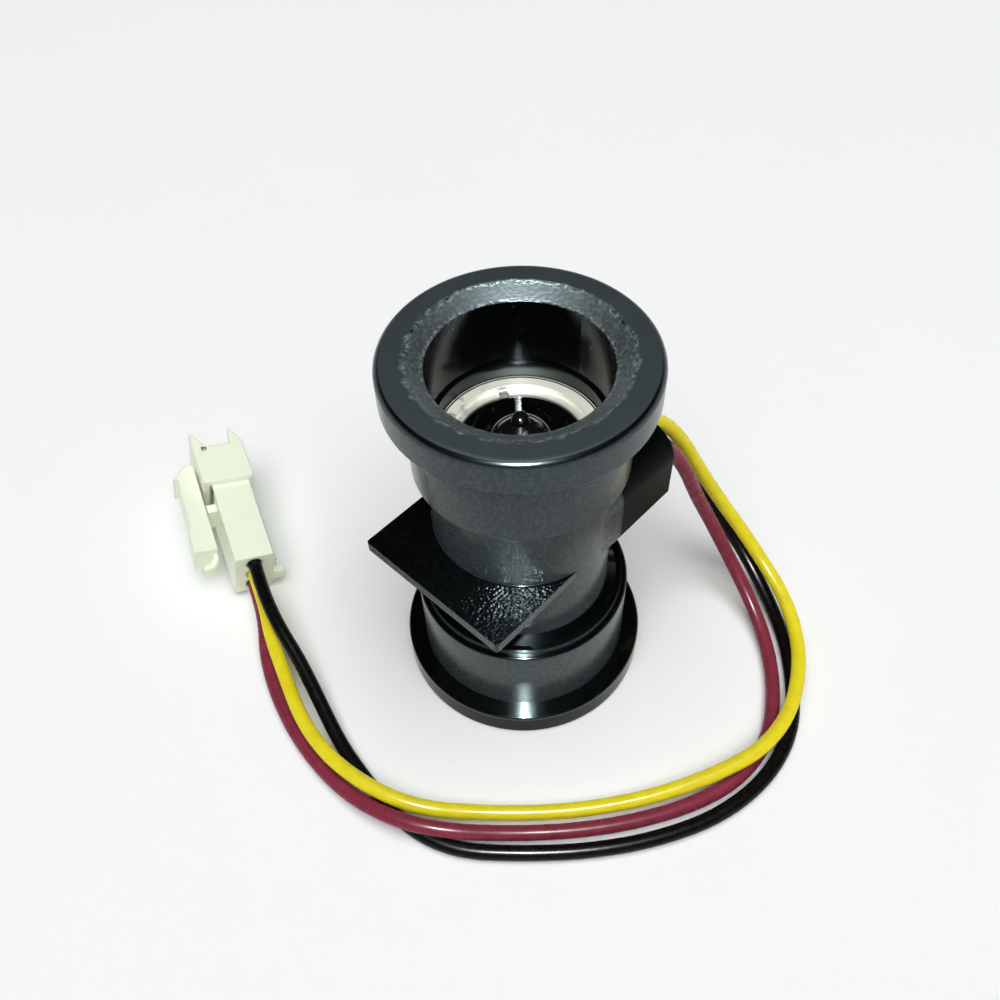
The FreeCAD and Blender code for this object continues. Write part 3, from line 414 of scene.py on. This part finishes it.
def body_black():
    """Black moulding: upright walls with grey painted in as the floor's reflection, black level faces, a
    ground top, a worn mouth and a rough plate.
    """
    recipe = Recipe("body_black", IOR=1.6, Specular_Tint=colour(0.76, 0.97, 1.0))
    regions, worn = body_regions(recipe)
    marks = recipe.ramp(recipe.noise(scale=2.8, detail=7.0), low=0.35, high=0.75)
    clouds = recipe.noise(scale=0.3, detail=5.0)
    scratches = recipe.ramp(recipe.noise(scale=2.6, detail=7.0, stretch=(1.0, 1.0, 2.0)), low=0.42, high=0.66)
    scuffs = recipe.both(scratches, recipe.ramp(worn, low=0.0, high=1.0, start=0.3, end=1.0))
    dust = recipe.both(recipe.specks(per_mm=0.5, size=0.05, share=0.3), regions["bore"])
    tone = recipe.mix(marks, *PLAIN_TONES)
    # Upright walls take the painted floor reflection as their colour; the top and the mouth take their own
    # finish.
    for region, pattern, tones in (("walls", marks, WALL_PAINTED_REFLECTION_TONES), ("top", clouds, TOP_TONES),
                                   ("chamfer", scuffs, CHAMFER_TONES)):
        tone = recipe.mix(regions[region], tone, recipe.mix(pattern, *tones))
    recipe.feed("Base Color", recipe.mix(dust, tone, DUST_TONE))
    for socket, level, levels in (("Roughness", PLAIN_ROUGHNESS, BODY_ROUGHNESS),
                                  ("Specular IOR Level", PLAIN_SHINE, BODY_SHINE)):
        for region, region_level in levels.items():
            level = recipe.blend(regions[region], level, region_level)
        recipe.feed(socket, level)
    waves = recipe.noise(scale=0.35)
    streaks = recipe.noise(scale=0.9, detail=3.0, stretch=(1.0, 1.0, 0.05))
    grain = recipe.noise(scale=6.0)
    sparks = recipe.both(recipe.noise(scale=3.4, detail=0.0), regions["plate"])
    wear = recipe.both(scuffs, regions["chamfer"])
    recipe.bump([(waves, 5.0), (streaks, 6.0), (grain, 0.8), (sparks, 90.0), (wear, 17.0)], edge=0.12)
    return recipe.material


def stator_black():
    """Glossy black plastic of the stator and the outlet support, with a little dirt."""
    recipe = Recipe("stator_black", IOR=1.54)
    dirt = recipe.ramp(recipe.noise(scale=1.1, detail=6.0), low=0.55, high=0.75)
    recipe.feed("Base Color", recipe.mix(dirt, *STATOR_TONES))
    recipe.feed("Roughness", recipe.blend(dirt, 0.12, 0.45))
    recipe.bump([(recipe.noise(scale=0.6), 8.0), (recipe.noise(scale=5.0), 1.0)], edge=0.1)
    return recipe.material


def ring_steel():
    """Stamped spring steel: fine turned lines, a dark line of painted shade, tabs painted darker as shade,
    and stains on one side.
    """
    recipe = Recipe("ring_steel", Metallic=1.0)
    lines = recipe.add("TexNoise", {"W": recipe.radius, "Scale": 7.0, "Detail": 2.0},
                       noise_dimensions="1D").outputs["Fac"]
    side = recipe.ramp(recipe.calc("SUBTRACT", recipe.y, recipe.x), low=2.0, high=10.0)
    stains = recipe.both(recipe.ramp(recipe.noise(scale=0.9, detail=6.0), low=0.45, high=0.62), side)
    # A near-black line of painted shade across the band.
    groove_shade = recipe.band(recipe.radius, RING_GROOVE - RING_GROOVE_HALF, RING_GROOVE + RING_GROOVE_HALF,
                         soft=0.04)
    # The tabs inside the band are painted darker as shade.
    tabs = recipe.below(recipe.radius, RING_BAND, soft=0.03)
    tone = recipe.mix(stains, recipe.mix(tabs, BAND_TONE, TAB_PAINTED_SHADE_TONE), STAIN_TONE)
    recipe.feed("Base Color", recipe.mix(groove_shade, tone, GROOVE_PAINTED_SHADE_TONE))
    recipe.feed("Roughness", recipe.blend(stains, recipe.blend(lines, 0.5, 0.64), 0.62))
    recipe.bump([(lines, 4.0), (stains, 8.0)], edge=0.06)
    return recipe.material


def plain_metal(name, tone, low, high, scratch=(1.0, 1.0, 1.0)):
    """Metal with fine scratches, which may run along one direction."""
    recipe = Recipe(name, Metallic=1.0)
    marks = recipe.noise(scale=2.0, detail=5.0, stretch=scratch)
    dull = colour(*(part * DULLED for part in tone[:3]))
    recipe.feed("Base Color", recipe.mix(marks, tone, dull))
    recipe.feed("Roughness", recipe.blend(marks, low, high))
    recipe.bump([(marks, 2.0)], edge=0.05)
    return recipe.material


def moulded(name, tone, deep, low, high, scatter=0.0, edge=0.12):
    """Moulded plastic: soft clouds of tone, slight flow lines and a fine grain."""
    recipe = Recipe(name, IOR=1.52)
    if scatter:
        recipe.feed("Subsurface Weight", scatter)
        recipe.feed("Subsurface Radius", (1.0, 1.0, 0.8))
        recipe.feed("Subsurface Scale", 0.4 * MM)
    recipe.feed("Base Color", recipe.mix(recipe.noise(scale=0.4, detail=4.0), tone, deep))
    recipe.feed("Roughness", recipe.blend(recipe.noise(scale=0.9, detail=3.0), low, high))
    recipe.bump([(recipe.noise(scale=0.5), 8.0), (recipe.noise(scale=5.0), 2.0)], edge=edge)
    return recipe.material


def wire_skin(name, tone, deep):
    """Extruded insulation: glossy, with faint waves and handling marks."""
    recipe = Recipe(name, IOR=1.53, Specular_IOR_Level=0.12)
    marks = recipe.ramp(recipe.noise(scale=0.8, detail=4.0), low=0.35, high=0.75)
    recipe.feed("Base Color", recipe.mix(marks, tone, deep))
    recipe.feed("Roughness", recipe.blend(recipe.noise(scale=1.6, detail=3.0), 0.22, 0.34))
    recipe.bump([(recipe.noise(scale=0.7), 14.0), (recipe.noise(scale=5.0), 2.0)])
    return recipe.material


MATERIALS = {"body_black": body_black(), "stator_black": stator_black(), "ring_steel": ring_steel()}
for make, looks in ((plain_metal, METAL_LOOKS), (moulded, MOULDED_LOOKS), (wire_skin, WIRE_LOOKS)):
    for slot_name, look in looks.items():
        MATERIALS[slot_name] = make(slot_name, **look)


def dress_nodes():
    """Gives every CAD node the material of its slot in the record."""
    for part in frame["record"]["subparts"]:
        mesh = frame["nodes"][part["node"]].data
        mesh.materials.clear()
        mesh.materials.append(MATERIALS[part["material_slot"]])


def finished(build):
    """Turns a bmesh into a mesh with its faces outwards, smooth but for its edges."""
    bmesh.ops.remove_doubles(build, verts=build.verts, dist=WELD_DISTANCE)
    bmesh.ops.recalc_face_normals(build, faces=build.faces)
    mesh = bpy.data.meshes.new("solid")
    build.to_mesh(mesh)
    build.free()
    mesh.shade_smooth()
    mesh.set_sharp_from_angle(angle=math.radians(SHARP_ANGLE))
    return mesh


def prism(outline, low, high):
    """A closed mesh over an outline in the plug's frame, from low to high across it, in millimetres."""
    build = bmesh.new()
    foot, head = ([build.verts.new(PLUG_PLACE @ (Vector((along, aside, level)) * MM))
                   for along, aside in outline]
                  for level in (low, high))
    build.faces.new(foot)
    build.faces.new(head)
    for index in range(len(outline)):
        build.faces.new((foot[index - 1], foot[index], head[index], head[index - 1]))
    return finished(build)


def merged_copy(node):
    """A copy of a CAD node's mesh with its seams closed."""
    build = bmesh.new()
    build.from_mesh(frame["nodes"][node].data)
    return finished(build)


def combined(base, adds, cuts):
    """A mesh with others added to it and cut from it."""
    whole = bpy.data.objects.new("whole", base)
    helpers = [whole]
    for operation, meshes in (("UNION", adds), ("DIFFERENCE", cuts)):
        for mesh in meshes:
            helper = bpy.data.objects.new("helper", mesh)
            helpers.append(helper)
            step = whole.modifiers.new("step", "BOOLEAN")
            step.operation = operation
            step.solver = "EXACT"
            step.object = helper
    for helper in helpers:
        bpy.context.scene.collection.objects.link(helper)
    result = bpy.data.meshes.new_from_object(whole.evaluated_get(bpy.context.evaluated_depsgraph_get()))
    result.shade_flat()
    for helper in helpers:
        bpy.data.objects.remove(helper)
    return result


def show(name, form, body, slot, node=None):
    """Puts a mesh or a curve in the scene as a piece on a body, in place of a CAD node if one is named."""
    form.materials.clear()
    form.materials.append(MATERIALS[slot])
    piece = bpy.data.objects.new(name, form)
    bpy.context.scene.collection.objects.link(piece)
    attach(piece, body)
    if node:
        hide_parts(node)
    return piece


def make_housing():
    """The plug's housing with pointed horns, a small window beside one and a foot at the wire end."""
    end = HORN_TIP + PAST
    left_inner = SHROUD_LEFT - HORN_WIDTH - PAST
    right_inner = SHROUD_RIGHT + HORN_WIDTH + PAST
    half = SHROUD_HALF + PAST
    slopes = [
        [(HORN_ROOT, left_inner), (end, left_inner), (end, SHROUD_LEFT - PAST)],
        [(HORN_ROOT, SHROUD_RIGHT - PAST), (end, SHROUD_RIGHT - PAST), (end, RIGHT_TIP - PAST)],
        [(HORN_ROOT, right_inner), (end, right_inner), (end, RIGHT_TIP + PAST)],
    ]
    window_start = HORN_ROOT - WINDOW
    window_side = SHROUD_LEFT - HORN_WIDTH
    window = [(window_start, window_side), (HORN_ROOT, window_side),
              (HORN_ROOT, window_side + WINDOW), (window_start, window_side + WINDOW)]
    foot = [(0.0, REAR_RIGHT - FOOT_REACH), (FOOT_LENGTH, REAR_RIGHT - FOOT_REACH),
            (FOOT_LENGTH, REAR_RIGHT + PAST), (0.0, REAR_RIGHT + PAST)]
    cuts = [prism(slope, -half, half) for slope in slopes]
    cuts.append(prism(window, SHROUD_HALF - WINDOW_DEPTH, half))
    mesh = combined(merged_copy("connector_housing"), [prism(foot, FOOT_LOW, FOOT_HIGH)], cuts)
    return show("plug_housing", mesh, "meter", "plug_nylon", "connector_housing")


def make_lever():
    """The plug's latch lever: a thick bar with a thumb pad, a catch and a curled hook."""
    outer = LEVER_INNER + LEVER_THICKNESS
    middle = LEVER_INNER + LEVER_THICKNESS / 2
    crest = LEVER_TIP - LEVER_WIDTH / 2
    pad_end = LEVER_TAIL + LEVER_WIDTH
    bar = [(LEVER_TAIL, LEVER_INNER), (LEVER_TIP, LEVER_INNER), (LEVER_TIP, middle),
           (crest, outer + LEVER_CATCH), (crest, outer), (pad_end, outer),
           (pad_end - LEVER_PAD, outer + LEVER_PAD), (LEVER_TAIL, outer + LEVER_PAD)]
    hook = [(LEVER_TAIL + HOOK_THICKNESS - share * (HOOK_LENGTH + HOOK_THICKNESS), LEVER_INNER + aside)
            for share, aside in HOOK_OUTLINE]
    mesh = combined(prism(bar, -LEVER_WIDTH / 2, LEVER_WIDTH / 2),
                    [prism(hook, -HOOK_WIDTH / 2, HOOK_WIDTH / 2)], [])
    return show("plug_lever", mesh, "latch_lever", "plug_nylon", "connector_latch_lever")


def make_ring():
    """The split retaining ring, by steps of one degree: a band, thinner tabs inside it, and notches."""
    build = bmesh.new()
    last = None
    for step in range(RING_SPAN + 1):
        angle = RING_START + step
        notched = (angle - NOTCH_START) % NOTCH_EVERY < NOTCH_ARC
        inner = RING_BAND - NOTCH_LIP if notched else RING_TAB
        turn = turned(angle, "Z")
        corners = ((RING_OUTER, RING_FOOT), (RING_OUTER, RING_TOP), (RING_BAND, RING_TOP),
                   (RING_BAND, TAB_TOP), (inner, TAB_TOP), (inner, RING_FOOT))
        section = [build.verts.new(turn @ (Vector((radius, 0.0, height)) * MM)) for radius, height in corners]
        if last is None or step == RING_SPAN:
            build.faces.new(section)
        if last is not None:
            for index in range(len(section)):
                build.faces.new((last[index - 1], last[index], section[index], section[index - 1]))
        last = section
    return show("ring_spring", finished(build), "meter", "ring_steel", "retaining_ring")


def make_nose():
    """The pointed end of the stator's hub, turned, on the hub's dome."""
    profile = [(0.0, NOSE_FOOT), (NOSE_FOOT_RADIUS, NOSE_FOOT)]
    for step in range(BALL_STEPS + 1):
        rise = math.radians(90.0 * step / BALL_STEPS)
        profile.append((BALL_RADIUS * math.cos(rise), BALL_MIDDLE + BALL_RADIUS * math.sin(rise)))
    build = bmesh.new()
    chain = [build.verts.new(Vector((radius, 0.0, height)) * MM) for radius, height in profile]
    lines = [build.edges.new(pair) for pair in zip(chain, chain[1:])]
    bmesh.ops.spin(build, geom=chain + lines, cent=(0, 0, 0), axis=(0, 0, 1), angle=math.tau,
                   steps=NOSE_STEPS)
    return show("stator_point", finished(build), "meter", "stator_black")


def make_wire(name):
    """One hook-up wire as a smooth spline through the route of its CAD tube."""
    line = bpy.data.curves.new(f"{name}_line", "CURVE")
    line.dimensions = "3D"
    line.bevel_depth = WIRE_RADIUS * MM
    line.bevel_resolution = 6
    line.resolution_u = 10
    line.use_fill_caps = True
    route = [Vector(point) * MM for point in WIRE_ROUTES[name]]
    spline = line.splines.new("NURBS")
    spline.points.add(len(route) - 1)
    for point, place in zip(spline.points, route):
        point.co = (*place, 1.0)
    spline.order_u = 3
    spline.use_endpoint_u = True
    slot = f"wire_{name}"
    wire = show(f"{slot}_line", line, "meter", slot, slot)
    return wire


def make_floor():
    """A plain pale floor."""
    corners = [(-FLOOR_HALF, -FLOOR_HALF, 0), (FLOOR_HALF, -FLOOR_HALF, 0),
               (FLOOR_HALF, FLOOR_HALF, 0), (-FLOOR_HALF, FLOOR_HALF, 0)]
    mesh = bpy.data.meshes.new("floor")
    mesh.from_pydata(corners, [], [(0, 1, 2, 3)])
    recipe = Recipe("floor_white", Roughness=0.9, Specular_IOR_Level=0.1)
    recipe.feed("Base Color", recipe.mix(recipe.noise(scale=0.02, detail=3.0), *FLOOR_TONES))
    mesh.materials.append(recipe.material)
    floor = bpy.data.objects.new("floor", mesh)
    bpy.context.scene.collection.objects.link(floor)


def make_world():
    """A pale room: bright towards the horizon and dark overhead."""
    world = bpy.data.worlds.new("room")
    world.use_nodes = True
    tree = world.node_tree
    background = tree.nodes["Background"]
    background.inputs["Color"].default_value = ROOM_TONE
    place = tree.nodes.new("ShaderNodeTexCoord")
    split = tree.nodes.new("ShaderNodeSeparateXYZ")
    fade = tree.nodes.new("ShaderNodeMapRange")
    fade.interpolation_type = "SMOOTHSTEP"
    for socket, given in ROOM_FADE.items():
        fade.inputs[socket].default_value = given
    tree.links.new(place.outputs["Generated"], split.inputs[0])
    tree.links.new(split.outputs[2], fade.inputs["Value"])
    tree.links.new(fade.outputs[0], background.inputs["Strength"])
    bpy.context.scene.world = world


def make_lamp(name, place, size, power):
    """A square area lamp that faces the middle of the object, in metres and watts."""
    lamp = bpy.data.lights.new(name, "AREA")
    lamp.size = size
    lamp.energy = power
    holder = bpy.data.objects.new(name, lamp)
    holder.location = place
    holder.rotation_mode = "QUATERNION"
    holder.rotation_quaternion = (OBJECT_MIDDLE - holder.location).to_track_quat("-Z", "Y")
    holder.visible_camera = False
    bpy.context.scene.collection.objects.link(holder)
    return holder


def make_camera():
    """The photograph's camera."""
    camera = bpy.data.cameras.new("camera")
    camera.lens = LENS
    camera.sensor_width = SENSOR_WIDTH
    camera.clip_start = CLIP_START
    camera.clip_end = CLIP_END
    holder = bpy.data.objects.new("camera", camera)
    holder.matrix_world = (Matrix.Translation(CAMERA_PLACE)
                           @ turned(CAMERA_TURN, "Z")
                           @ turned(CAMERA_TILT, "X")
                           @ Matrix.Rotation(CAMERA_ROLL_RADIANS, 4, "Z"))
    bpy.context.scene.collection.objects.link(holder)
    bpy.context.scene.camera = holder


dress_nodes()
make_ring()
make_nose()
plug_pieces = [make_housing(), make_lever(), frame["nodes"]["connector_contacts"]]
for wire_name in WIRE_ROUTES:
    make_wire(wire_name)

make_floor()
make_world()
fill = make_lamp("fill", FILL_PLACE, FILL_SIZE, FILL_POWER)
fill.visible_glossy = False
flash = make_lamp("flash", FLASH_PLACE, FLASH_SIZE, FLASH_POWER)
flash.visible_diffuse = False
make_camera()
bpy.context.scene.view_settings.view_transform = "Standard"
